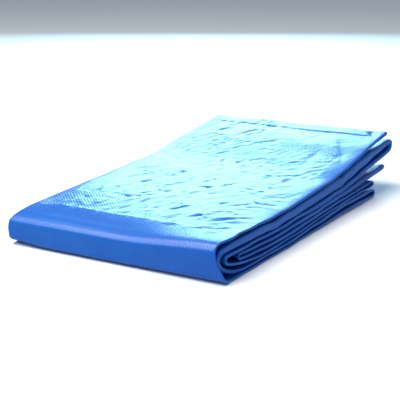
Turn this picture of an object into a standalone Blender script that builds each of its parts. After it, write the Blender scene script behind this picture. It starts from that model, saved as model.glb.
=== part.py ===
"""A folded woven-plastic tarp, lying flat.

The tarp is one sheet. It was folded lengthwise into a strip of many plies. The strip was folded back
and forth into eight leaves, and the whole packet was doubled, so that the leaves nest at the front and
fan out at the back.
The strip is one solid: its outline is carried along the folded line of the leaves. It is thin across
the middle, and at both sides the plies' own folds puff up into soft rolls.
The outermost leaf is the cover. It runs over the top, down the front and back underneath.

Metres, +Z up. +Y runs from the doubled front edge to the loose back ends, and +X to the right.
The origin is on the ground, under the middle of the packet.
"""

import math
from collections import namedtuple

import bmesh
import bpy

MM = 0.001

# Driving sizes, in millimetres.
CORE = 1.25  # half the thickness of the strip's plies, pressed together
HEM = 2.4  # half the thickness at a loose end, where the hem doubles each ply
HEM_WIDTH = 24.0  # of the thicker band at a loose end
CROWN = 4.0  # how far the middle of the top leaf stands above its sides
SAG = 3.5  # how far the inner leaves' fronts sink in the middle, where the cover's front is lower
SAG_DEPTH = 90.0  # how far back they sink
SIDE_BAND = 26.0  # the width over which the roll at a side thins down to the core
BODY_LEFT, BODY_RIGHT = 95.0, 5.0  # the cover's front keeps one shape to these distances left and right

# Every leaf's heights are given at its own front, at these distances back, and at its back end.
PLACES = (110.0, 180.0, 250.0, 320.0, 385.0, 440.0)
# The left side's heights as shares of the right's, at the same eight places.
LEFT_SHARES = (0.90, 1.0, 1.035, 1.045, 1.03, 1.03, 0.98, 0.98)
LEFT_FRONT_SHARE = 0.885  # and of the fronts of the inner folds
# The rolls' half thicknesses are given at these of the eight places.
PUFF_PLACES = (0, 2, 5, 7)
STEPS_PER_GAP = 2  # points that a leaf has between two places

# A row for each leaf, in the order in which the sheet runs. Columns: its middle's heights on the right,
# half the thickness of its side rolls, its front, its back end right and left, and its half width.
Leaf = namedtuple("Leaf", "name heights puffs front back_right back_left reach")
LEAVES = (
    Leaf(
        "cover_top",
        (46.6, 45.6, 46.4, 49.8, 54.0, 63.4, 74.6, 84.2),
        (1.6, 1.6, 1.8, 3.0), 45, 512, 521, 150,
    ),
    Leaf(
        "cover_under",
        (1.25, 1.25, 1.25, 1.25, 1.25, 1.25, 1.25, 1.25),
        (1.25, 1.25, 2.9, 1.9), 14, 446, 462, 157,
    ),
    Leaf(
        "second_under",
        (5.6, 5.2, 5.6, 7.8, 10.6, 11.3, 10.9, 10.6),
        (1.6, 1.7, 2.9, 2.0), 50, 446, 462, 156,
    ),
    Leaf(
        "second_top",
        (37.4, 36.4, 37.2, 39.9, 43.6, 51.4, 60.9, 69.6),
        (4.7, 5.8, 7.6, 3.9), 30, 520, 508, 151,
    ),
    Leaf(
        "third_top",
        (28.8, 27.2, 27.6, 29.6, 32.4, 38.0, 45.5, 55.6),
        (2.0, 2.3, 3.5, 3.2), 20, 516, 505, 152,
    ),
    Leaf(
        "third_under",
        (11.8, 9.4, 10.0, 12.8, 15.6, 17.0, 17.3, 17.4),
        (1.4, 1.5, 1.25, 1.25), 56, 446, 467, 155,
    ),
    Leaf(
        "fourth_under",
        (18.2, 14.6, 15.4, 17.9, 19.9, 21.2, 22.6, 23.6),
        (1.3, 2.2, 1.4, 1.25), 47, 446, 467, 154,
    ),
    Leaf(
        "fourth_top",
        (23.4, 21.0, 21.5, 23.6, 25.8, 28.4, 31.6, 36.0),
        (1.5, 2.2, 3.6, 4.4), 45, 498, 490, 153,
    ),
)

# A row for each fold, in the order in which the sheet meets them. Columns: the points that it passes
# through between its two leaves, on the right; how far its right and its left side draw in at each of
# them; and its points per span.
Fold = namedtuple("Fold", "name points right_draws left_draws steps")
FOLDS = (
    Fold(
        "front_of_cover",
        ((8, 45.8), (-2.5, 40), (-5, 29), (-4, 16), (-1, 5)),
        (0, 4, 7, 4, -3), (0, 0, -1, -1, 0), 2,
    ),
    Fold("back_of_cover", ((453, 3.2), (454, 7.6)), (0, 0), (0, 0), 2),
    Fold("front_of_second", ((24, 8), (8, 15), (1.8, 25), (9, 35)), (1, 3, 5, 2), (0, 1, 2, 1), 2),
    Fold("back_of_second", ((529.5, 67.5), (528, 58.8)), (0, 0), (0, 0), 2),
    Fold("front_of_third", ((11, 27.2), (13, 20.6), (30, 15.4)), (1, 1, 0), (1, 1, 0), 2),
    Fold("back_of_third", ((452, 18.8), (452, 22.2)), (0, 0), (0, 0), 2),
    Fold("front_of_fourth", ((40.2, 18.8), (40, 22.9)), (0, 0), (0, 0), 2),
)
# The cover's front is not the same all across: here are its points in the middle and at the left.
COVER_FRONT_MIDDLE = ((16, 39.5), (-0.5, 33), (-3.5, 25), (-3.5, 13), (-2, 4.5))
COVER_FRONT_LEFT = ((16, 39), (-1, 33), (-4, 25), (-3.5, 15), (-1, 8))

SIDE_SEGMENTS = 4  # of the half round at a side
INNER_SHARES = (0.7, 0.25, -0.25, -0.7)  # points across the strip between its two side bands
END_SHARES = (0.75, 0.3)  # the rounding of a loose end: what is left of its thickness
END_STEP = 1.4  # between those shares, along the sheet

# Woven polyethylene, coated on both faces.
BLUE = (0.0, 0.105, 0.39, 1.0)
ROUGHNESS = 0.38


def blend(a, b, share):
    return a + (b - a) * share


def smooth(share):
    share = min(1.0, max(0.0, share))
    return share * share * (3 - 2 * share)


def smooth_value(xs, values, x):
    """The value at x on the smooth curve through (xs, values)."""
    k = max(0, min(len(xs) - 2, sum(x >= v for v in xs) - 1))

    def slope(i):
        low, high = max(i - 1, 0), min(i + 1, len(xs) - 1)
        return (values[high] - values[low]) / (xs[high] - xs[low])

    span = xs[k + 1] - xs[k]
    t = (x - xs[k]) / span
    rise = (2 * t**3 - 3 * t**2 + 1) * values[k] + (3 * t**2 - 2 * t**3) * values[k + 1]
    return rise + span * ((t**3 - 2 * t**2 + t) * slope(k) + (t**3 - t**2) * slope(k + 1))


class Station:
    """One point of the sheet's folded line, with what the strip's outline needs there."""

    def __init__(self, y, z, puff, reach, lift=0.0, front=0.0, core=CORE):
        self.y, self.z = y, z
        self.puff, self.reach = puff, reach
        self.lift = lift  # of the middle of the side roll above the core
        self.front = front  # 1 where the cover's front fold differs across the strip
        self.core = core
        self.draws = (0.0, 0.0)  # how far the right and the left side draw in


def leaf_stations(leaf, left):
    """The leaf's stations from front to back, on the right side, or on the left."""
    back = leaf.back_left if left else leaf.back_right
    ys = (leaf.front, *PLACES, back)
    zs = leaf.heights
    on_ground = leaf.name == "cover_under"
    if left and not on_ground:
        zs = tuple(blend(CORE, z, share) for z, share in zip(zs, LEFT_SHARES))
    stations = []
    for k in range(len(ys) - 1):
        steps = STEPS_PER_GAP if k < len(ys) - 2 else STEPS_PER_GAP + 1
        for step in range(steps):
            y = blend(ys[k], ys[k + 1], step / steps)
            stations.append(leaf_station(leaf, ys, zs, y, on_ground))
    stations.append(leaf_station(leaf, ys, zs, ys[-1], on_ground))
    return stations


def leaf_station(leaf, ys, zs, y, on_ground):
    puff_ys = [ys[k] for k in PUFF_PLACES]
    puff = smooth_value(puff_ys, leaf.puffs, y)
    return Station(y, smooth_value(ys, zs, y), puff, leaf.reach, CORE - puff if on_ground else 0.0)


def through(points, steps):
    """Points on the smooth curve through points, without the given ends' outer spans."""
    line = []
    for k in range(1, len(points) - 2):
        before, here, there, after = points[k - 1 : k + 3]
        for step in range(steps):
            t = step / steps
            weights = (
                (-t + 2 * t**2 - t**3) / 2,
                (2 - 5 * t**2 + 3 * t**3) / 2,
                (t + 4 * t**2 - 3 * t**3) / 2,
                (-(t**2) + t**3) / 2,
            )
            near = (before, here, there, after)
            line.append(tuple(sum(w * p[axis] for w, p in zip(weights, near)) for axis in (0, 1)))
    return line[1:]


def fold_points(fold, place):
    """The fold's points at a place across the strip: right, middle or left."""
    if fold.name == "front_of_cover":
        return {"right": fold.points, "middle": COVER_FRONT_MIDDLE, "left": COVER_FRONT_LEFT}[place]
    if place == "right":
        return fold.points
    at_front = fold.points[0][0] < PLACES[0]
    share = LEFT_FRONT_SHARE if at_front else LEFT_SHARES[-1]
    return tuple((y, blend(CORE, z, share)) for y, z in fold.points)


def fold_stations(before, after, fold, place):
    """The stations between two leaves' ends. Each gives its last two stations, the nearer one second."""
    shift = 0.0
    if place == "left" and fold.points[0][0] > PLACES[0]:
        ends_right = (right_end(fold, 0) + right_end(fold, 1)) / 2
        shift = (before[1].y + after[1].y) / 2 - ends_right
    passed = [(y + shift, z) for y, z in fold_points(fold, place)]
    line = through(lead_in(before, passed[0]) + passed + lead_in(after, passed[-1])[::-1], fold.steps)
    stations = []
    for k, (y, z) in enumerate(line, 1):
        share = k / (len(line) + 1)
        puff = blend(before[1].puff, after[1].puff, share)
        station = Station(y, z, puff, blend(before[1].reach, after[1].reach, share))
        station.draws = (draw_at(fold.right_draws, share), draw_at(fold.left_draws, share))
        station.lift = blend(before[1].lift, after[1].lift, share)
        stations.append(station)
    return stations


def lead_in(stations, passed):
    """A leaf's end, after a point behind it on the leaf that is as far away as the fold's own next point."""
    (y0, z0), (y1, z1) = ((station.y, station.z) for station in stations)
    back = math.hypot(passed[0] - y1, passed[1] - z1) / math.hypot(y0 - y1, z0 - z1)
    return [(blend(y1, y0, back), blend(z1, z0, back)), (y1, z1)]


def draw_at(draws, share):
    """How far a side draws in at a share of the way round the fold."""
    draws = (0.0, *draws, 0.0)
    at = share * (len(draws) - 1)
    low = min(int(at), len(draws) - 2)
    return blend(draws[low], draws[low + 1], at - low)


def right_end(fold, which):
    """The right back end of one of the two leaves that a back fold joins."""
    return LEAVES[FOLDS.index(fold) + which].back_right


def sheet_stations(place):
    """Every station along the folded line, at a place across the strip: right, middle or left."""
    left = place == "left"
    runs = [leaf_stations(leaf, left) for leaf in LEAVES]
    for run in runs[::2]:
        run.reverse()  # the sheet starts at the loose back end of the cover
    stations = list(runs[0])
    for number, (fold, run) in enumerate(zip(FOLDS, runs[1:])):
        ends = (runs[number][-2:], [run[1], run[0]])
        turn = fold_stations(*ends, fold, place)
        if fold.name == "front_of_cover":
            for station in turn:
                station.front = 1.0
        stations += turn + run
    return loose_end(list(reversed(loose_end(list(reversed(stations))))))


def loose_end(stations):
    """The stations with the hem's thickness at the last ones, and a rounded tip."""
    end, before = stations[-1], stations[-2]
    length = math.hypot(end.y - before.y, end.z - before.z)
    dy, dz = (end.y - before.y) / length, (end.z - before.z) / length
    thick = Station(end.y - dy * HEM_WIDTH, end.z - dz * HEM_WIDTH, end.puff, end.reach, core=HEM)
    end.core = HEM
    kept = stations[:-2]
    tips = []
    for number, share in enumerate(END_SHARES, 1):
        on = number * END_STEP
        tip = Station(end.y + dy * on, end.z + dz * on, end.puff * share, end.reach - on, core=HEM * share)
        tips.append(tip)
    return kept + [thick, end] + tips


def normals(stations):
    """The unit normals of the line, on the side that is above a leaf running to the front."""
    found = []
    for i in range(len(stations)):
        a, b = stations[max(i - 1, 0)], stations[min(i + 1, len(stations) - 1)]
        length = math.hypot(b.y - a.y, b.z - a.z)
        found.append(((b.z - a.z) / length, -(b.y - a.y) / length))
    return found


def outline(station):
    """(x, offset from the line) round the strip: thin across the middle, a roll at each side."""
    inner = station.reach - SIDE_BAND
    puff, lift, core = station.puff, station.lift, station.core

    def side(sign):
        reach = station.reach - station.draws[0 if sign > 0 else 1]
        turns = [math.pi * (0.5 - step / SIDE_SEGMENTS) for step in range(SIDE_SEGMENTS + 1)]
        return [(sign * (reach - puff * (1 - math.cos(t))), lift + puff * math.sin(t)) for t in turns]

    half_band = (inner + station.reach) / 2
    crest = blend(core, puff, 0.55)
    upper = [(half_band, lift * 0.55 + crest)] + [(inner, core)]
    upper += [(share * inner, core) for share in INNER_SHARES] + [(-inner, core)]
    upper += [(-half_band, lift * 0.55 + crest)]
    lower = [(x, -core if abs(x) < half_band else lift * 0.55 - crest) for x, _ in upper]
    return side(1) + lower + list(reversed(side(-1))) + list(reversed(upper))


def placed(x, offset, stations, sides):
    """The point at x across the strip and at offset from its line there."""
    right, middle, left = (stations[k] for k in ("right", "middle", "left"))
    reach = right.reach
    share = 0.5 + x / (2 * reach)
    mix = {"right": share, "middle": 0.0, "left": 1 - share}
    if right.front:
        at_right = smooth((x - BODY_RIGHT) / (reach - BODY_RIGHT))
        at_left = smooth((-x - BODY_LEFT) / (reach - BODY_LEFT))
        mix = {"right": at_right, "middle": 1 - at_right - at_left, "left": at_left}
    by_place = {"right": right, "middle": middle, "left": left}
    y = sum(mix[k] * (by_place[k].y + sides[k][0] * offset) for k in mix)
    z = sum(mix[k] * (by_place[k].z + sides[k][1] * offset) for k in mix)
    return x, y, z


def rise(x, y, z, number, count):
    """How far the sheet stands up in the middle. Its top leaf comes first; the inner leaves' fronts sink."""
    if number < count:
        along = smooth((count - number) / 4) * smooth(number / 8)
        return CROWN * along * (1 - min(1.0, abs(x / LEAVES[0].reach)) ** 5)
    if number < 2 * count + FOLDS[0].steps * len(FOLDS[0].points):
        return 0.0  # the cover's front and its under leaf
    along = smooth((SAG_DEPTH - y) / SAG_DEPTH) * min(1.0, z / LEAVES[3].heights[0])
    return -SAG * along * (1 - min(1.0, abs(x / LEAVES[0].reach)) ** 4)


def sheet_rings():
    """The strip's outline at each station of the folded line, in millimetres."""
    lines = {place: sheet_stations(place) for place in ("right", "middle", "left")}
    sides = {place: normals(line) for place, line in lines.items()}
    top_count = sum(1 for _ in leaf_stations(LEAVES[0], False))
    rings = []
    for i, station in enumerate(lines["right"]):
        here = {place: line[i] for place, line in lines.items()}
        normal_here = {place: side[i] for place, side in sides.items()}
        ring = [placed(x, offset, here, normal_here) for x, offset in outline(station)]
        rings.append([(x, y, z + rise(x, y, z, i, top_count)) for x, y, z in ring])
    return rings


def centred(rings):
    """The rings with the box round them standing on the ground, its base centred on the origin."""
    flat = [point for ring in rings for point in ring]
    low = [min(point[k] for point in flat) for k in range(3)]
    high = [max(point[k] for point in flat) for k in range(3)]
    middle = ((low[0] + high[0]) / 2, (low[1] + high[1]) / 2, low[2])
    return [[[point[k] - middle[k] for k in range(3)] for point in ring] for ring in rings]


def polyethylene():
    """Woven polyethylene tape, coated and dyed blue all through."""
    material = bpy.data.materials.new("blue_polyethylene")
    material.use_nodes = True
    shader = material.node_tree.nodes["Principled BSDF"]
    shader.inputs["Base Color"].default_value = BLUE
    shader.inputs["Roughness"].default_value = ROUGHNESS
    shader.inputs["Metallic"].default_value = 0.0
    material.diffuse_color = BLUE
    return material


def build_tarp():
    """One closed body: each ring is joined to the next, and the two ends of the sheet are closed."""
    bm = bmesh.new()
    loops = [[bm.verts.new([v * MM for v in point]) for point in ring] for ring in centred(sheet_rings())]
    count = len(loops[0])
    for here, there in zip(loops, loops[1:]):
        for k in range(count):
            after = (k + 1) % count
            bm.faces.new((here[k], here[after], there[after], there[k]))
    bm.faces.new(loops[0])
    bm.faces.new(list(reversed(loops[-1])))
    bmesh.ops.recalc_face_normals(bm, faces=bm.faces)
    mesh = bpy.data.meshes.new("tarp")
    bm.to_mesh(mesh)
    bm.free()
    mesh.materials.append(polyethylene())
    mesh.shade_smooth()
    mesh.set_sharp_from_angle(angle=math.radians(50))
    tarp = bpy.data.objects.new("tarp", mesh)
    bpy.context.scene.collection.objects.link(tarp)
    return tarp


def main():
    for old in list(bpy.data.objects):
        bpy.data.objects.remove(old)
    build_tarp()


main()
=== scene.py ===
"""A folded woven-plastic tarp, lying flat: its cloth, its finish and the studio round it.

The tarp is one sheet. It was folded lengthwise into a strip of many plies, the strip was folded back and
forth into eight leaves, and the packet was doubled, so that the leaves nest at the front and fan out at
the back. The strip's outline is carried along its folded line. It is thin across the middle, and its
sides puff up into soft rolls where the plies turn.

The sheet's sizes are in millimetres, in a frame of its own. Its packet is then moved to the CAD's place.
"""

import logging
import math
from dataclasses import dataclass, field
from enum import Enum
from typing import Any, Iterable, Sequence

import bpy
import numpy as np
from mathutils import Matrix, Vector


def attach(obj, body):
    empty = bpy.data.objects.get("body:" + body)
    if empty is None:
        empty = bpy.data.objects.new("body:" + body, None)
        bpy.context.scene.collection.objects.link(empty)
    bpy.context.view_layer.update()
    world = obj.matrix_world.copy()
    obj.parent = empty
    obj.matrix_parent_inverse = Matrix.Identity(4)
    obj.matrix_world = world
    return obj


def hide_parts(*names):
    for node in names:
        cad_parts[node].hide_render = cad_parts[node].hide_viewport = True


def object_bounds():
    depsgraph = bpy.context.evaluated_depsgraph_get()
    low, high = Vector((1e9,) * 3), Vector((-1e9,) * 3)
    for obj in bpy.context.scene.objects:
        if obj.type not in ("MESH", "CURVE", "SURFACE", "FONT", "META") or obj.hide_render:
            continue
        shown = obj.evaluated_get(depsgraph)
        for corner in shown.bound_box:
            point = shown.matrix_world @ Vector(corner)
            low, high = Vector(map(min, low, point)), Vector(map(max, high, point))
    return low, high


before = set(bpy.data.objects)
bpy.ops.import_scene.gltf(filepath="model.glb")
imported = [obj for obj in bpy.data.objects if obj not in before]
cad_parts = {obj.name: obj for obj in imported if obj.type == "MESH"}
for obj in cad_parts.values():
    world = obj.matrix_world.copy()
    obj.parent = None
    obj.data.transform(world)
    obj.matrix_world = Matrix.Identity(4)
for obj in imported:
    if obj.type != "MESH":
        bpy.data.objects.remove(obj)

CAD_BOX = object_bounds()

MM = 0.001
LOG = logging.getLogger("tarp")

# The middle of the packet's base in the sheet's own frame, in millimetres.
PACKET_MIDDLE = (0.9, 263.55, 0.0)


class Place(Enum):
    """Where across the strip a folded line runs."""

    RIGHT = "right"
    MIDDLE = "middle"
    LEFT = "left"


@dataclass(frozen=True)
class Leaf:
    """One leaf of the packet, with its sizes in millimetres.

    Heights are of its middle line on the right, at its front, at PLACES and at its back end. Puffs are
    half the thickness of its side rolls at four of those. Dents are (distance back, half width, drop)
    of its right side's edge, and grooves are (angle, half width, depth share) round its side rolls.
    """

    name: str
    heights: tuple[float, ...]
    puffs: tuple[float, ...]
    front: float
    back_right: float
    back_left: float
    reach: float
    dents: tuple[tuple[float, float, float], ...] = ()
    grooves: tuple[tuple[float, float, float], ...] = ((0.35, 0.3, 0.22),)
    square: float = 1.0


@dataclass(frozen=True)
class Fold:
    """One fold between two leaves: the points it passes through, and how far its sides draw in there."""

    name: str
    points: tuple[tuple[float, float], ...]
    right_draws: tuple[float, ...]
    left_draws: tuple[float, ...]


@dataclass(frozen=True)
class Crease:
    """A crease placed on the top leaf: a soft trough, or a ridge where its depth is negative."""

    points: tuple[tuple[float, float], ...]
    width: float
    depth: float


PLACES = (110.0, 180.0, 250.0, 320.0, 385.0, 440.0)
LEFT_SHARES = (0.90, 1.0, 1.035, 1.045, 1.03, 1.03, 0.98, 0.98)
LEFT_FRONT_SHARE = 0.885
PUFF_PLACES = (0, 2, 5, 7)

LEAVES = (
    Leaf(
        "cover_top", (46.6, 45.6, 46.4, 49.8, 54.0, 63.4, 74.6, 84.2), (1.6, 1.6, 1.8, 3.0),
        45, 512, 521, 150,
    ),
    Leaf(
        "cover_under", (1.25,) * 8, (1.25, 1.25, 2.9, 1.9), 14, 446, 462, 157,
    ),
    Leaf(
        "second_under", (5.6, 5.2, 5.6, 7.8, 10.6, 11.3, 10.9, 10.6), (1.6, 1.7, 2.9, 2.0),
        50, 446, 462, 156,
    ),
    Leaf(
        "second_top", (37.4, 36.4, 37.2, 39.9, 43.6, 51.4, 60.9, 69.6), (4.7, 5.8, 7.6, 3.9),
        30, 520, 508, 151,
        dents=((136, 13, 1.6), (345, 8, 2.6), (300, 20, -0.6), (430, 16, 0.8)),
        grooves=((0.15, 0.42, 0.16), (-0.95, 0.2, 0.14)), square=0.62,
    ),
    Leaf(
        "third_top", (28.8, 27.2, 27.6, 29.6, 32.4, 38.0, 45.5, 55.6), (2.0, 2.3, 3.5, 3.2),
        20, 516, 505, 152, dents=((200, 25, -0.5), (340, 14, 0.8)),
    ),
    Leaf(
        "third_under", (11.8, 9.4, 10.0, 12.8, 15.6, 17.0, 17.3, 17.4), (1.4, 1.5, 1.25, 1.25),
        56, 446, 467, 155,
    ),
    Leaf(
        "fourth_under", (18.2, 14.6, 15.4, 17.9, 19.9, 21.2, 22.6, 23.6), (1.3, 2.2, 1.4, 1.25),
        47, 446, 467, 154,
    ),
    Leaf(
        "fourth_top", (23.4, 21.0, 21.5, 23.6, 25.8, 28.4, 31.6, 36.0), (1.5, 2.2, 3.6, 4.4),
        45, 498, 490, 153,
    ),
)

FOLDS = (
    Fold(
        "front_of_cover", ((8, 45.8), (-2.5, 40), (-5, 29), (-4, 16), (-1, 5)),
        (0, 4, 7, 4, -3), (0, 0, -1, -1, 0),
    ),
    Fold("back_of_cover", ((453, 3.2), (454, 7.6)), (0, 0), (0, 0)),
    Fold("front_of_second", ((24, 8), (8, 15), (1.8, 25), (9, 35)), (1, 3, 5, 2), (0, 1, 2, 1)),
    Fold("back_of_second", ((529.5, 67.5), (528, 58.8)), (0, 0), (0, 0)),
    Fold("front_of_third", ((11, 27.2), (13, 20.6), (30, 15.4)), (1, 1, 0), (1, 1, 0)),
    Fold("back_of_third", ((452, 18.8), (452, 22.2)), (0, 0), (0, 0)),
    Fold("front_of_fourth", ((40.2, 18.8), (40, 22.9)), (0, 0), (0, 0)),
)
COVER_FRONT_MIDDLE = ((16, 39.5), (-0.5, 33), (-3.5, 25), (-3.5, 13), (-2, 4.5))
COVER_FRONT_LEFT = ((16, 39), (-1, 33), (-4, 25), (-3.5, 15), (-1, 8))

CREASES = (
    Crease(((84, 128), (108, 158), (150, 168)), 4.5, 0.9),
    Crease(((92, 122), (116, 150), (150, 158)), 4.0, -0.6),
    Crease(((116, 183), (131, 200), (142, 232)), 4.0, 0.7),
    Crease(((84, 54), (108, 84), (148, 110)), 4.5, 1.0),
    Crease(((90, 48), (114, 76), (149, 98)), 4.0, -0.7),
    Crease(((88, 34), (116, 46), (146, 66)), 3.6, 0.8),
    Crease(((112, 20), (136, 41)), 3.2, 0.5),
    Crease(((40, 420), (72, 505)), 5.0, 0.5),
    Crease(((92, 322), (84, 420)), 6.0, 0.6),
    Crease(((92, 470), (136, 380)), 8.0, 1.3),
    Crease(((122, 512), (147, 476)), 4.0, 1.6),
    Crease(((-30, 505), (-60, 440), (-70, 380)), 6.0, 0.6),
    Crease(((-152, 333), (-128, 322)), 5.0, 1.4),
    Crease(((-152, 13), (-60, 12), (40, 9)), 3.2, 0.45),
)


def blend(a: float, b: float, share: float) -> float:
    """The value a share of the way from a to b."""
    return a + (b - a) * share


def smooth(share: Any) -> Any:
    """A soft step from 0 to 1, level at both ends."""
    share = np.clip(share, 0.0, 1.0)
    return share * share * (3 - 2 * share)


def smooth_value(xs: Sequence[float], values: Sequence[float], x: float) -> float:
    """The value at x on the smooth curve through (xs, values).

    Args:
        xs: The places of the given values, rising.
        values: The values there.
        x: The place asked for.

    Returns:
        The value of the cubic Hermite curve there.
    """
    k = max(0, min(len(xs) - 2, sum(x >= v for v in xs) - 1))

    def slope(i: int) -> float:
        """The curve's slope at a given place, from its neighbours."""
        low, high = max(i - 1, 0), min(i + 1, len(xs) - 1)
        return (values[high] - values[low]) / (xs[high] - xs[low])

    span = xs[k + 1] - xs[k]
    t = (x - xs[k]) / span
    rise = (2 * t**3 - 3 * t**2 + 1) * values[k] + (3 * t**2 - 2 * t**3) * values[k + 1]
    return rise + span * ((t**3 - 2 * t**2 + t) * slope(k) + (t**3 - t**2) * slope(k + 1))


def srgb(code: str) -> tuple[float, float, float, float]:
    """The linear colour of an sRGB hex code such as #00469f.

    Args:
        code: The hex code.

    Returns:
        Red, green, blue and an alpha of 1.
    """
    parts = [int(code[i : i + 2], 16) / 255 for i in (1, 3, 5)]
    linear = [v / 12.92 if v <= 0.04045 else ((v + 0.055) / 1.055) ** 2.4 for v in parts]
    return (*linear, 1.0)


@dataclass
class Station:
    """One point of the folded line, with what the strip's outline needs there."""

    y: float
    z: float
    puff: float
    reach: float
    leaf: int
    along: float = 0.0
    lift: float = 0.0
    front: float = 0.0
    core: float = 1.25
    draw_right: float = 0.0
    draw_left: float = 0.0
    tip: float = 0.0


@dataclass
class FoldedLine:
    """The line that the strip follows, leaf by leaf and fold by fold.

    Attributes:
        core: Half the thickness of the strip's plies, pressed together, in millimetres.
        hem: Half the thickness at a loose end, where the hem doubles each ply.
        hem_width: The width of that thicker band.
        steps: The length of the sheet between two stations on each leaf.
        fold_step: The same in the folds.
    """

    core: float = 1.25
    hem: float = 2.1
    hem_width: float = 24.0
    steps: tuple[float, ...] = (2.0, 6.5, 6.5, 6.5, 6.5, 6.5, 6.5, 6.5)
    fold_step: float = 2.0
    tip_angles: tuple[float, ...] = (22.0, 44.0, 62.0, 78.0)

    def leaf_run(self, number: int, place: Place) -> list[Station]:
        """The stations of one leaf from front to back.

        Args:
            number: The leaf's number in LEAVES.
            place: Where across the strip.

        Returns:
            The stations, evenly spaced between the given places.
        """
        leaf = LEAVES[number]
        left = place is Place.LEFT
        ys = (leaf.front, *PLACES, leaf.back_left if left else leaf.back_right)
        spans = np.diff((leaf.front, *PLACES, leaf.back_right))
        on_ground = leaf.name == "cover_under"
        zs = leaf.heights
        if left and not on_ground:
            zs = tuple(blend(self.core, z, share) for z, share in zip(zs, LEFT_SHARES))
        puff_ys = [ys[k] for k in PUFF_PLACES]
        run = []
        for k, span in enumerate(spans):
            count = max(2, round(span / self.steps[number]))
            last = k == len(spans) - 1
            for step in range(count + 1 if last else count):
                y = blend(ys[k], ys[k + 1], step / count)
                puff = smooth_value(puff_ys, leaf.puffs, y)
                lift = self.core - puff if on_ground else 0.0
                run.append(Station(y, smooth_value(ys, zs, y), puff, leaf.reach, number, lift=lift))
        return run

    def fold_run(self, number: int, before: list[Station], after: list[Station],
                 place: Place) -> list[Station]:
        """The stations of the fold between two leaves.

        Args:
            number: The fold's number in FOLDS.
            before: The last two stations of the leaf before it, the nearer one second.
            after: The first two stations of the leaf after it, the nearer one second.
            place: Where across the strip.

        Returns:
            The stations on the smooth curve through the fold's points.
        """
        fold = FOLDS[number]
        shift = 0.0
        if place is Place.LEFT and fold.points[0][0] > PLACES[0]:
            ends_right = (LEAVES[number].back_right + LEAVES[number + 1].back_right) / 2
            shift = (before[1].y + after[1].y) / 2 - ends_right
        passed = [(y + shift, z) for y, z in self.fold_points(number, place)]
        near = [self.lead_in(before, passed[0]), (before[1].y, before[1].z), *passed,
                (after[1].y, after[1].z), self.lead_in(after, passed[-1])]
        guide = [(before[1].y, before[1].z), *fold.points, (after[1].y, after[1].z)]
        counts = [max(3, round(math.dist(a, b) / self.fold_step)) for a, b in zip(guide, guide[1:])]
        line = self.through(near, counts)
        run = []
        for k, (y, z) in enumerate(line, 1):
            share = k / (len(line) + 1)
            one = Station(y, z, blend(before[1].puff, after[1].puff, share),
                          blend(before[1].reach, after[1].reach, share),
                          number if share < 0.5 else number + 1)
            one.draw_right = self.draw_at(fold.right_draws, share)
            one.draw_left = self.draw_at(fold.left_draws, share)
            one.lift = blend(before[1].lift, after[1].lift, share)
            one.front = 1.0 if fold.name == "front_of_cover" else 0.0
            run.append(one)
        return run

    @staticmethod
    def fold_points(number: int, place: Place) -> tuple[tuple[float, float], ...]:
        """The points of a fold at a place across the strip.

        Args:
            number: The fold's number in FOLDS.
            place: Where across the strip.

        Returns:
            The points' y and z, in millimetres.
        """
        fold = FOLDS[number]
        if fold.name == "front_of_cover":
            by_place = {Place.RIGHT: fold.points, Place.MIDDLE: COVER_FRONT_MIDDLE,
                        Place.LEFT: COVER_FRONT_LEFT}
            return by_place[place]
        if place is not Place.LEFT:
            return fold.points
        share = LEFT_FRONT_SHARE if fold.points[0][0] < PLACES[0] else LEFT_SHARES[-1]
        return tuple((y, blend(1.25, z, share)) for y, z in fold.points)

    @staticmethod
    def lead_in(stations: list[Station], passed: tuple[float, float]) -> tuple[float, float]:
        """A point behind a leaf's end, as far away as the fold's own next point is.

        Args:
            stations: The leaf's last two, the nearer one second.
            passed: The fold's next point.

        Returns:
            The point's y and z, in millimetres.
        """
        far, near = stations
        away = math.dist(passed, (near.y, near.z)) / math.dist((far.y, far.z), (near.y, near.z))
        return blend(near.y, far.y, away), blend(near.z, far.z, away)

    @staticmethod
    def draw_at(draws: tuple[float, ...], share: float) -> float:
        """How far a side draws in at a share of the way round the fold."""
        held = (0.0, *draws, 0.0)
        return float(smooth_value(range(len(held)), held, share * (len(held) - 1)))

    @staticmethod
    def through(points: list[tuple[float, float]], counts: list[int]) -> list[tuple[float, float]]:
        """Points on the smooth curve through points, without the outer spans.

        Args:
            points: The points to pass through.
            counts: The steps in each inner span.

        Returns:
            The curve's points, without its first one.
        """
        line = []
        for k, count in enumerate(counts, 1):
            near = points[k - 1 : k + 3]
            for step in range(count):
                t = step / count
                weights = ((-t + 2 * t**2 - t**3) / 2, (2 - 5 * t**2 + 3 * t**3) / 2,
                           (t + 4 * t**2 - 3 * t**3) / 2, (-(t**2) + t**3) / 2)
                line.append(tuple(sum(w * p[axis] for w, p in zip(weights, near)) for axis in (0, 1)))
        return line[1:]

    def stations(self, place: Place) -> list[Station]:
        """Every station along the folded line at a place across the strip.

        Args:
            place: Where across the strip.

        Returns:
            The stations from the cover's loose back end to the last leaf's.
        """
        runs = [self.leaf_run(number, place) for number in range(len(LEAVES))]
        for run in runs[::2]:
            run.reverse()
        line = list(runs[0])
        for number, run in enumerate(runs[1:]):
            turn = self.fold_run(number, runs[number][-2:], [run[1], run[0]], place)
            line += turn + run
        line = self.loose_end(self.loose_end(line)[::-1])[::-1]
        along = 0.0
        for here, there in zip(line, line[1:]):
            along += math.dist((here.y, here.z), (there.y, there.z))
            there.along = along
        return line

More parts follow.
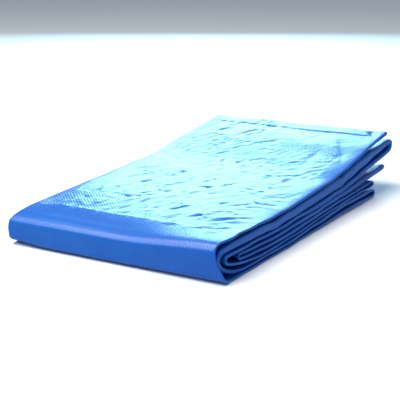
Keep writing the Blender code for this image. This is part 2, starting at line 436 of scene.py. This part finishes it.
    def loose_end(self, line: list[Station]) -> list[Station]:
        """The line with a hem at its last stations, and a rounded tip after them.

        Args:
            line: The stations, with the loose end last.

        Returns:
            The same stations and the new ones of the tip.
        """
        end, before = line[-1], line[-2]
        for one in line[-40:]:
            away = math.dist((one.y, one.z), (end.y, end.z))
            one.core = blend(self.core, self.hem, float(smooth((self.hem_width + 1 - away) / 2.5)))
        length = math.dist((end.y, end.z), (before.y, before.z))
        way = ((end.y - before.y) / length, (end.z - before.z) / length)
        tips = []
        for angle in self.tip_angles:
            on, share = self.hem * math.sin(math.radians(angle)), math.cos(math.radians(angle))
            tips.append(Station(end.y + way[0] * on, end.z + way[1] * on, end.puff * share,
                                end.reach - on * 0.6, end.leaf, core=self.hem * share, tip=1.0))
        return line + tips


@dataclass
class Crinkles:
    """The top leaf's small crinkles and long creases.

    Attributes:
        seed: Of the crinkles' places.
        count: How many small crinkles lie on the leaf.
        depth: The usual height of one, in millimetres.
        long: The usual half length of one.
        wide: The usual half width of one.
    """

    seed: int = 7
    count: int = 2600
    depth: float = 0.42
    long: float = 9.0
    wide: float = 2.4

    def crumpled(self, x: np.ndarray, y: np.ndarray) -> np.ndarray:
        """How strongly the small crinkles show at each point, from 0 to 1.

        Args:
            x: The points' places across.
            y: The points' places along.

        Returns:
            The shares, at the same points.
        """
        from_front = smooth((y - 24) / 26)
        from_right = 1 - smooth((x - 112) / 30)
        calm_back = 1 - 0.75 * smooth((y - 330) / 90) * smooth((x + 40) / 90)
        calm_left = 1 - 0.35 * smooth((-x - 90) / 50)
        return from_front * (0.12 + 0.88 * from_right) * calm_back * calm_left

    def heights(self, x: np.ndarray, y: np.ndarray) -> np.ndarray:
        """How far the crinkles and creases move the top leaf up.

        Args:
            x: The points' places across, a row of the grid for each station.
            y: The points' places along.

        Returns:
            The heights in millimetres, at the same points.
        """
        rng = np.random.default_rng(self.seed)
        small = np.zeros_like(x)
        middle = y[:, y.shape[1] // 2]
        order = np.argsort(middle)
        for _ in range(self.count):
            at = (rng.uniform(-155, 155), rng.uniform(15, 520))
            lean = 62 if rng.random() < 0.72 else rng.choice((5, 100, -20))
            angle = math.radians(lean + rng.normal(0, 16))
            long, wide = self.long * rng.uniform(0.5, 1.5), self.wide * rng.uniform(0.7, 1.5)
            depth = self.depth * rng.normal(0.15, 0.75)
            skew = rng.uniform(-0.5, 0.5)
            reach = 2.4 * max(long, wide) + 10
            low, high = np.searchsorted(middle[order], (at[1] - reach, at[1] + reach))
            rows = order[low:high]
            if not len(rows):
                continue
            dx, dy = x[rows] - at[0], y[rows] - at[1]
            run = dx * math.cos(angle) + dy * math.sin(angle)
            off = -dx * math.sin(angle) + dy * math.cos(angle)
            side = off / wide
            small[rows] += depth * np.exp(-((run / long) ** 2) - side**2) * (1 + skew * side)
        return small * self.crumpled(x, y) + self.creases(x, y)

    def creases(self, x: np.ndarray, y: np.ndarray) -> np.ndarray:
        """The heights of the creases that are listed.

        Args:
            x: The points' places across.
            y: The points' places along.

        Returns:
            The heights in millimetres, at the same points.
        """
        total = np.zeros_like(x)
        for crease in CREASES:
            nearest = np.full_like(x, 1e6)
            share = np.zeros_like(x)
            pieces = list(zip(crease.points, crease.points[1:]))
            for number, ((x0, y0), (x1, y1)) in enumerate(pieces):
                length = math.dist((x0, y0), (x1, y1))
                t = np.clip(((x - x0) * (x1 - x0) + (y - y0) * (y1 - y0)) / length**2, 0, 1)
                away = np.hypot(x - x0 - t * (x1 - x0), y - y0 - t * (y1 - y0))
                closer = away < nearest
                nearest = np.where(closer, away, nearest)
                share = np.where(closer, (number + t) / len(pieces), share)
            taper = smooth(share / 0.3) * (0.35 + 0.65 * smooth((1 - share) / 0.3))
            total -= crease.depth * taper * np.exp(-((nearest / crease.width) ** 2))
        return total


@dataclass
class Swell:
    """A soft unevenness made of a few waves, the same each time.

    Attributes:
        seed: Of the waves' directions and places.
        short: The shortest wave's length, in millimetres.
        far: The longest wave's length.
        count: How many waves there are.
    """

    seed: int
    short: float
    far: float
    count: int = 9

    def at(self, x: np.ndarray, y: np.ndarray) -> np.ndarray:
        """The unevenness at each point, about -1 to 1.

        Args:
            x: The points' places across.
            y: The points' places along.

        Returns:
            The sum of the waves, at the same points.
        """
        rng = np.random.default_rng(self.seed)
        total = np.zeros(np.broadcast(x, y).shape)
        for _ in range(self.count):
            length = rng.uniform(self.short, self.far)
            angle, start = rng.uniform(0, math.pi), rng.uniform(0, 2 * math.pi)
            total += np.sin(2 * math.pi * (x * math.cos(angle) + y * math.sin(angle)) / length + start)
        return total / math.sqrt(self.count)


@dataclass
class PolyethyleneCloth:
    """Woven polyethylene: slit film tapes, woven and coated on both faces with clear film.

    The coating gives the eye a soft broad gloss. The tapes under it give a fine square grain. The crests of
    its crinkles are painted a paler blue, a painted sheen where light would catch them.
    """

    deep: str = "#0057b4"
    # The paler blue that the crinkles' crests are painted with as a painted sheen; the random tone also
    # leans a little towards it.
    pale: str = "#3aa5ea"
    roughness: float = 0.3
    tape: float = 2.5  # millimetres from one tape to the next
    relief: float = 0.1  # millimetres that a tape stands up where it crosses over

    def material(self) -> bpy.types.Material:
        """The cloth's material.

        Returns:
            A new Principled material that reads the cloth's own UV map and its "crest_sheen" attribute, a
            painted sheen on the crinkles' crests.
        """
        cloth = bpy.data.materials.new("blue_woven_coated_polyethylene")
        cloth.use_nodes = True
        tree = cloth.node_tree
        shader = tree.nodes["Principled BSDF"]
        shader.inputs["Roughness"].default_value = self.roughness
        shader.inputs["IOR"].default_value = 1.5
        shader.inputs["Metallic"].default_value = 0.0
        uv = add_node(tree, "ShaderNodeUVMap", {"uv_map": "cloth"})
        parts = add_node(tree, "ShaderNodeSeparateXYZ", {}, {"Vector": uv.outputs["UV"]})
        waves = []
        for axis in ("X", "Y"):
            # The map's unit is a metre, so this turns a tape's pitch into half a turn of the sine.
            turned = add_node(tree, "ShaderNodeMath", {"operation": "MULTIPLY"},
                              {0: parts.outputs[axis], 1: math.pi / (self.tape * MM)})
            waves.append(add_node(tree, "ShaderNodeMath", {"operation": "SINE"}, {0: turned.outputs[0]}))
        weave = add_node(tree, "ShaderNodeMath", {"operation": "MULTIPLY"},
                         {0: waves[0].outputs[0], 1: waves[1].outputs[0]})
        grain = add_node(tree, "ShaderNodeTexNoise", {},
                         {"Vector": uv.outputs["UV"], "Scale": 140.0, "Detail": 4.0, "Roughness": 0.6})
        soft = add_node(tree, "ShaderNodeMath", {"operation": "MULTIPLY_ADD"},
                        {0: grain.outputs["Fac"], 1: 2.2, 2: weave.outputs[0]})
        bump = add_node(tree, "ShaderNodeBump", {},
                        {"Height": soft.outputs[0], "Distance": self.relief * MM, "Strength": 0.9})
        # Painted sheen: this attribute mixes the paler blue onto the crinkles' crests, added to a random
        # tone.
        crest_sheen = add_node(tree, "ShaderNodeAttribute", {"attribute_name": "crest_sheen"})
        cloudy = add_node(tree, "ShaderNodeTexNoise", {},
                          {"Vector": uv.outputs["UV"], "Scale": 18.0, "Detail": 3.0})
        deeper = add_node(tree, "ShaderNodeMapRange", {},
                          {"Value": cloudy.outputs["Fac"], "From Min": 0.3, "From Max": 0.7,
                           "To Min": -0.03, "To Max": 0.07})
        tone_and_sheen = add_node(tree, "ShaderNodeMath", {"operation": "ADD", "use_clamp": True},
                         {0: crest_sheen.outputs["Fac"], 1: deeper.outputs[0]})
        colour = add_node(tree, "ShaderNodeMix", {"data_type": "RGBA"},
                          {"Factor": tone_and_sheen.outputs[0], "A": srgb(self.deep), "B": srgb(self.pale)})
        tree.links.new(colour.outputs["Result"], shader.inputs["Base Color"])
        tree.links.new(bump.outputs["Normal"], shader.inputs["Normal"])
        return cloth


def add_node(tree: bpy.types.NodeTree, kind: str, settings: dict[str, Any],
             inputs: dict[Any, Any] | None = None) -> bpy.types.Node:
    """A new node with its settings and its inputs' values or links.

    Args:
        tree: The tree that gets it.
        kind: The node's type name.
        settings: Its own properties.
        inputs: By socket name or number: a value, or the output that is linked to it.

    Returns:
        The node.
    """
    node = tree.nodes.new(kind)
    for name, value in settings.items():
        setattr(node, name, value)
    for key, value in (inputs or {}).items():
        sockets = [s for s in node.inputs if s.name == key and s.enabled] if isinstance(key, str) else []
        socket = sockets[0] if sockets else node.inputs[key]
        if isinstance(value, bpy.types.NodeSocket):
            tree.links.new(value, socket)
        else:
            socket.default_value = value
    return node


@dataclass
class Section:
    """The places of a strip's outline points: across its two faces and round its two sides.

    Attributes:
        upper: How many points the upper face has.
        lower: How many the lower face has.
        round_side: How many each half-round side has.
        band: The width over which a side's roll thins down to the core, in millimetres.
    """

    upper: int
    lower: int
    round_side: int
    band: float = 26.0

    def face(self, count: int) -> np.ndarray:
        """Shares across one face from right to left, closer together at the sides."""
        share = np.linspace(1, -1, count)
        return share * 0.94 + 0.06 * np.sign(share) * np.abs(share) ** 0.3 * np.abs(share)

    def points(self, one: Station, leaf: Leaf, edge: float) -> tuple[np.ndarray, np.ndarray, np.ndarray]:
        """The outline at a station, round from the top of its right side.

        Args:
            one: The station.
            leaf: The leaf that it is on.
            edge: How far the leaf's edge stands out or in there, in millimetres.

        Returns:
            The places across, the offsets from the folded line, and a 0 to 1 weight that is 1 at the
            very side, all in millimetres but the last.
        """
        across, offset, weight = [], [], []
        reaches = {1: one.reach - one.draw_right + edge, -1: one.reach - one.draw_left + edge}

        def side(sign: int) -> None:
            """Adds one half-round side.

            Args:
                sign: 1 for the right side, -1 for the left.
            """
            turns = np.linspace(math.pi / 2, -math.pi / 2, self.round_side)
            for t in turns if sign > 0 else turns[::-1]:
                swollen = 1 - sum(d * math.exp(-(((t - a) / w) ** 2)) for a, w, d in leaf.grooves)
                c = abs(math.cos(t)) ** leaf.square
                s = math.copysign(abs(math.sin(t)) ** leaf.square, t)
                across.append(sign * (reaches[sign] - one.puff * (1 - c * swollen)))
                offset.append(one.lift + one.puff * s)
                weight.append(1.0)

        def face(shares: np.ndarray, sign: int) -> None:
            """Adds the inner points of one face.

            Args:
                shares: Their places, as shares of the half width.
                sign: 1 for the upper face, -1 for the lower.
            """
            for share in shares:
                reach = reaches[1 if share > 0 else -1]
                x = share * (reach - one.puff)
                out = float(smooth((abs(x) - (reach - self.band)) / (self.band - one.puff)))
                across.append(x)
                offset.append(one.lift * out + sign * blend(one.core, max(one.puff, one.core * 0.9), out))
                weight.append(out)

        side(1)
        face(self.face(self.lower + 2)[1:-1], -1)
        side(-1)
        face(self.face(self.upper + 2)[1:-1][::-1], 1)
        return np.array(across), np.array(offset), np.array(weight)


@dataclass
class Tarp:
    """The folded tarp's cloth, in two lengths of the same sheet that meet under the packet.

    Attributes:
        crown: How far the top leaf's middle stands above its sides, in millimetres.
        sag: How far the inner leaves' fronts sink in the middle.
        sag_depth: How far back they sink.
        body_left: How far left the cover's front keeps one shape.
        body_right: How far right it does.
        split: How far back under the packet the two lengths meet.
    """

    finish: PolyethyleneCloth
    line: FoldedLine = field(default_factory=FoldedLine)
    crinkles: Crinkles = field(default_factory=Crinkles)
    crown: float = 4.0
    crown_power: float = 8.0
    sag: float = 3.5
    sag_depth: float = 90.0
    body_left: float = 95.0
    body_right: float = 5.0
    split: float = 150.0

    def build(self) -> list[bpy.types.Object]:
        """Builds and dresses both lengths.

        Returns:
            The two pieces, the cover first.
        """
        lines = {place: self.line.stations(place) for place in Place}
        right = lines[Place.RIGHT]
        under = [k for k, one in enumerate(right) if one.leaf == 1 and not one.front and one.y >= self.split]
        cut = under[0]
        material = self.finish.material()
        pieces = []
        sections = (("tarp_cover", 0, cut + 1, Section(158, 34, 13)),
                    ("tarp_inner_leaves", cut, len(right), Section(30, 30, 13)))
        for name, first, last, section in sections:
            piece = self.length(name, lines, first, last, section)
            piece.data.materials.append(material)
            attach(piece, "root")
            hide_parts("tarp")
            pieces.append(piece)
        return pieces

    def length(self, name: str, lines: dict[Place, list[Station]], first: int, last: int,
               section: Section) -> bpy.types.Object:
        """One length of the strip as a closed mesh.

        Args:
            name: The piece's name.
            lines: The folded lines at the three places across.
            first: Its first station.
            last: The one after its last.
            section: The points of its outline.

        Returns:
            The new object, linked to the scene.
        """
        sides = {place: self.normals(line) for place, line in lines.items()}
        rows, along, weights = [], [], []
        for i in range(first, last):
            right = lines[Place.RIGHT][i]
            leaf = LEAVES[right.leaf]
            edge = self.edge(right)
            x, offset, weight = section.points(right, leaf, edge)
            here = {place: lines[place][i] for place in Place}
            y, z = self.placed(x, offset, here, {place: sides[place][i] for place in Place})
            z = z + self.kinks(right, leaf, x, y) * weight
            z = z + self.rise(right, x, y, z)
            rows.append(np.stack([x, y, z], axis=1))
            along.append(right.along)
            weights.append(weight)
        grid = np.array(rows)
        lifted, crest_sheen = self.uneven(grid, lines[Place.RIGHT][first:last], np.array(weights))
        grid[:, :, 2] += lifted
        return self.object(name, self.moved(grid), np.array(along), crest_sheen)

    @staticmethod
    def normals(line: list[Station]) -> list[tuple[float, float]]:
        """The unit normals of a folded line, on the side above a leaf that runs to the front.

        Args:
            line: The stations.

        Returns:
            Each normal's y and z.
        """
        found = []
        for i in range(len(line)):
            a, b = line[max(i - 1, 0)], line[min(i + 1, len(line) - 1)]
            length = math.dist((a.y, a.z), (b.y, b.z))
            found.append(((b.z - a.z) / length, -(b.y - a.y) / length))
        return found

    def edge(self, one: Station) -> float:
        """How far the strip's edge wanders out at a station.

        Args:
            one: The station.

        Returns:
            The distance in millimetres.
        """
        turn = one.along * MM * 2 * math.pi
        # Each wave: its height in millimetres, its turns in a metre of strip, and where it starts.
        waves = ((0.5, 3.1, 1.0), (0.35, 8.3, 2.0), (0.2, 21.0, 0.0))
        return sum(height * math.sin(turn * turns + start) for height, turns, start in waves)

    def kinks(self, one: Station, leaf: Leaf, x: np.ndarray, y: np.ndarray) -> np.ndarray:
        """How far the strip's sides are pushed up or down at a station.

        Args:
            one: The station.
            leaf: The leaf that it is on.
            x: The outline's places across.
            y: The outline's places along.

        Returns:
            The rises in millimetres.
        """
        drop = np.zeros_like(x)
        for place, wide, depth in leaf.dents:
            drop -= depth * np.exp(-(((y - place) / wide) ** 2)) * (x > 0)
        turn = one.along * MM * 2 * math.pi
        drop += 0.28 * math.sin(turn * 9.0 + 0.5) + 0.2 * math.sin(turn * 17.0 + np.sign(x[0]) * 1.1)
        calm = 0.0 if one.leaf == 1 or one.tip else 1.0
        return drop * calm

    def placed(self, x: np.ndarray, offset: np.ndarray, here: dict[Place, Station],
               sides: dict[Place, tuple[float, float]]) -> tuple[np.ndarray, np.ndarray]:
        """The points at x across the strip and at offset from its line.

        Args:
            x: The places across.
            offset: The distances from the folded line.
            here: The station at each of the three places across.
            sides: The folded lines' normals there.

        Returns:
            The points' y and z.
        """
        right = here[Place.RIGHT]
        share = 0.5 + x / (2 * right.reach)
        mix = {Place.RIGHT: share, Place.MIDDLE: 0 * share, Place.LEFT: 1 - share}
        if right.front:
            at_right = smooth((x - self.body_right) / (right.reach - self.body_right))
            at_left = smooth((-x - self.body_left) / (right.reach - self.body_left))
            mix = {Place.RIGHT: at_right, Place.MIDDLE: 1 - at_right - at_left, Place.LEFT: at_left}
        y = sum(mix[k] * (here[k].y + sides[k][0] * offset) for k in mix)
        z = sum(mix[k] * (here[k].z + sides[k][1] * offset) for k in mix)
        return y, z

    def rise(self, one: Station, x: np.ndarray, y: np.ndarray, z: np.ndarray) -> np.ndarray:
        """How far the sheet stands up across its middle at a station.

        Args:
            one: The station.
            x: The outline's places across.
            y: The outline's places along.
            z: The outline's heights.

        Returns:
            The rises in millimetres.
        """
        out = np.minimum(1.0, np.abs(x / LEAVES[0].reach))
        if one.leaf == 0:
            along = smooth((y - 13) / 132) * smooth((512 - y) / 227) * (z > 38)
            return self.crown * along * (1 - out**self.crown_power)
        if one.leaf == 1:
            return 0.0 * x
        along = smooth((self.sag_depth - y) / self.sag_depth) * np.minimum(1.0, z / LEAVES[3].heights[0])
        return -self.sag * along * (1 - out**4)

    def uneven(self, grid: np.ndarray, run: list[Station],
               weight: np.ndarray) -> tuple[np.ndarray, np.ndarray]:
        """The small unevenness of the sheet, and how much painted sheen its crinkles' crests get.

        Args:
            grid: The points, a row for each station.
            run: The stations.
            weight: 1 at the very side, 0 on the faces.

        Returns:
            How far each point is moved up in millimetres, and how much painted sheen it gets from 0 to 1.
        """
        x, y, z = grid[:, :, 0], grid[:, :, 1], grid[:, :, 2]
        number = np.array([one.leaf for one in run])[:, None]
        front = np.array([one.front for one in run])[:, None]
        top = (number == 0) & (z > 37)
        lifted = np.zeros_like(x)
        crest_sheen = np.zeros_like(x)
        if top.any():
            fine = self.crinkles.heights(x, y) * (1 - 0.8 * weight)
            broad = 0.35 * Swell(3, 60, 190).at(x, y) * smooth((y - 30) / 60) * (1 - weight)
            lifted = np.where(top, fine + broad, 0.0)
            # Painted sheen: the crinkles' crests, where they stand above their neighbours, are marked to be
            # painted paler.
            shifts = ((2, 0), (-2, 0), (2, 1), (-2, 1))
            peaks = fine - sum(np.roll(fine, step, axis) for step, axis in shifts) / len(shifts)
            crest_sheen = np.where(top, np.clip(peaks * 1.1, 0, 0.5), 0.0)
        inner = np.where((number > 1) & (front == 0), 1.0, 0.0)
        lifted = lifted + inner * 0.22 * Swell(11, 40, 140).at(x + 37 * number, y) * (1 - 0.5 * weight)
        return lifted, crest_sheen

    @staticmethod
    def moved(grid: np.ndarray) -> np.ndarray:
        """The points in metres at the CAD's place.

        Args:
            grid: The points in millimetres, in the sheet's own frame.

        Returns:
            The points as the CAD has them.
        """
        low, high = CAD_BOX
        middle = np.array([(low[0] + high[0]) / 2, (low[1] + high[1]) / 2, low[2]])
        return (grid - np.array(PACKET_MIDDLE)) * MM + middle

    @staticmethod
    def object(name: str, grid: np.ndarray, along: np.ndarray, crest_sheen: np.ndarray) -> bpy.types.Object:
        """A closed mesh from a grid of rings.

        Args:
            name: The object's name.
            grid: The points in metres, a ring for each row.
            along: Each ring's place along the sheet, in millimetres.
            crest_sheen: How much painted sheen each point gets, a paler colour on the crinkles' crests.

        Returns:
            The object, linked to the scene.
        """
        rows, count = grid.shape[:2]
        index = np.arange(rows * count).reshape(rows, count)
        ahead = np.roll(index, -1, axis=1)
        quads = np.stack([index[:-1], ahead[:-1], ahead[1:], index[1:]], axis=-1).reshape(-1, 4)
        faces = [tuple(int(v) for v in quad) for quad in quads]
        faces += [tuple(int(v) for v in index[0][::-1]), tuple(int(v) for v in index[-1])]
        mesh = bpy.data.meshes.new(name)
        mesh.from_pydata(grid.reshape(-1, 3).tolist(), [], faces)
        mesh.update()
        steps = np.linalg.norm(np.diff(grid, axis=1, append=grid[:, :1]), axis=2)
        around = np.concatenate([np.zeros((rows, 1)), np.cumsum(steps, axis=1)], axis=1)
        around = np.broadcast_to(around[rows // 2], around.shape)
        u = np.stack([around[:-1, :-1], around[:-1, 1:], around[1:, 1:], around[1:, :-1]], axis=-1)
        v = along * MM
        v = np.stack([v[:-1], v[:-1], v[1:], v[1:]], axis=-1)[:, None, :].repeat(count, axis=1)
        layer = mesh.uv_layers.new(name="cloth")
        pairs = np.stack([u, v], axis=-1).reshape(-1, 2)
        caps = np.zeros((2 * count, 2))
        layer.data.foreach_set("uv", np.concatenate([pairs, caps]).ravel())
        # The painted sheen on the crinkles' crests, stored for the material.
        marks = mesh.attributes.new("crest_sheen", "FLOAT", "POINT")
        marks.data.foreach_set("value", crest_sheen.ravel())
        mesh.shade_smooth()
        mesh.validate()
        piece = bpy.data.objects.new(name, mesh)
        bpy.context.scene.collection.objects.link(piece)
        return piece


@dataclass
class Studio:
    """A plain pale floor, soft lights and the camera.

    Attributes:
        azimuth: The camera's way round from the front, in degrees.
        elevation: Its height above the ground, in degrees.
        distance: From its target, in metres.
        target: What it looks at.
        lens: Its focal length on a 36 mm sensor, in millimetres.
    """

    azimuth: float = 30.69
    elevation: float = 14.98
    distance: float = 1.499
    target: tuple[float, float, float] = (-0.0573, 0.03995, 0.0)
    lens: float = 91.8
    floor_colour: str = "#f4f5f6"
    world_strength: float = 0.35

    def build(self) -> None:
        """Builds the floor, the lights and the camera."""
        self.camera()
        self.floor()
        self.lights()
        bpy.context.scene.view_settings.view_transform = "Standard"

    def camera(self) -> None:
        """Sets the camera at its viewing angle."""
        a, e = math.radians(self.azimuth), math.radians(self.elevation)
        back = Vector((math.sin(a) * math.cos(e), -math.cos(a) * math.cos(e), math.sin(e)))
        data = bpy.data.cameras.new("camera")
        data.lens, data.sensor_width = self.lens, 36.0
        camera = bpy.data.objects.new("camera", data)
        camera.location = Vector(self.target) + back * self.distance
        camera.rotation_euler = back.to_track_quat("Z", "Y").to_euler()
        bpy.context.scene.collection.objects.link(camera)
        bpy.context.scene.camera = camera

    def floor(self) -> None:
        """Lays the floor."""
        bpy.ops.object.select_all(action="DESELECT")
        bpy.ops.mesh.primitive_plane_add(size=16.0, location=(0, 0, CAD_BOX[0][2] - 0.0003))
        floor = bpy.context.active_object
        floor.name = "floor"
        paint = bpy.data.materials.new("pale_matt_board")
        paint.use_nodes = True
        shader = paint.node_tree.nodes["Principled BSDF"]
        shader.inputs["Base Color"].default_value = srgb(self.floor_colour)
        shader.inputs["Roughness"].default_value = 0.9
        shader.inputs["Specular IOR Level"].default_value = 0.1
        floor.data.materials.append(paint)
        floor.visible_glossy = False

    def lights(self) -> None:
        """Hangs the soft lights."""
        world = bpy.data.worlds.new("studio")
        world.use_nodes = True
        background = world.node_tree.nodes["Background"]
        background.inputs["Color"].default_value = (0.75, 0.87, 1.0, 1.0)
        background.inputs["Strength"].default_value = self.world_strength
        bpy.context.scene.world = world
        # Name, azimuth round from the front, elevation, distance, width, height, watts, colour.
        for name, azimuth, elevation, distance, size, watts, colour in (
            ("overhead", -60.0, 72.0, 2.2, (1.6, 1.6), 62.0, (1.0, 0.99, 0.97)),
            ("back_panel", 210.69, 19.0, 2.4, (1.1, 0.55), 34.0, (0.35, 0.72, 1.0)),
            ("left_front", -38.0, 42.0, 2.2, (1.0, 0.8), 16.0, (0.9, 0.96, 1.0)),
        ):
            a, e = math.radians(azimuth), math.radians(elevation)
            way = Vector((math.sin(a) * math.cos(e), -math.cos(a) * math.cos(e), math.sin(e)))
            data = bpy.data.lights.new(name, "AREA")
            data.shape = "RECTANGLE"
            data.size, data.size_y = size
            data.energy, data.color = watts, colour
            lamp = bpy.data.objects.new(name, data)
            lamp.location = way * distance
            lamp.rotation_euler = way.to_track_quat("Z", "Y").to_euler()
            bpy.context.scene.collection.objects.link(lamp)


def main() -> None:
    """Builds the studio and the tarp."""
    logging.basicConfig(level=logging.INFO)
    Studio().build()
    LOG.info("studio built")
    pieces = Tarp(PolyethyleneCloth()).build()
    LOG.info("tarp built of %d lengths", len(pieces))
    bpy.context.view_layer.update()


if __name__ == "__main__":
    main()
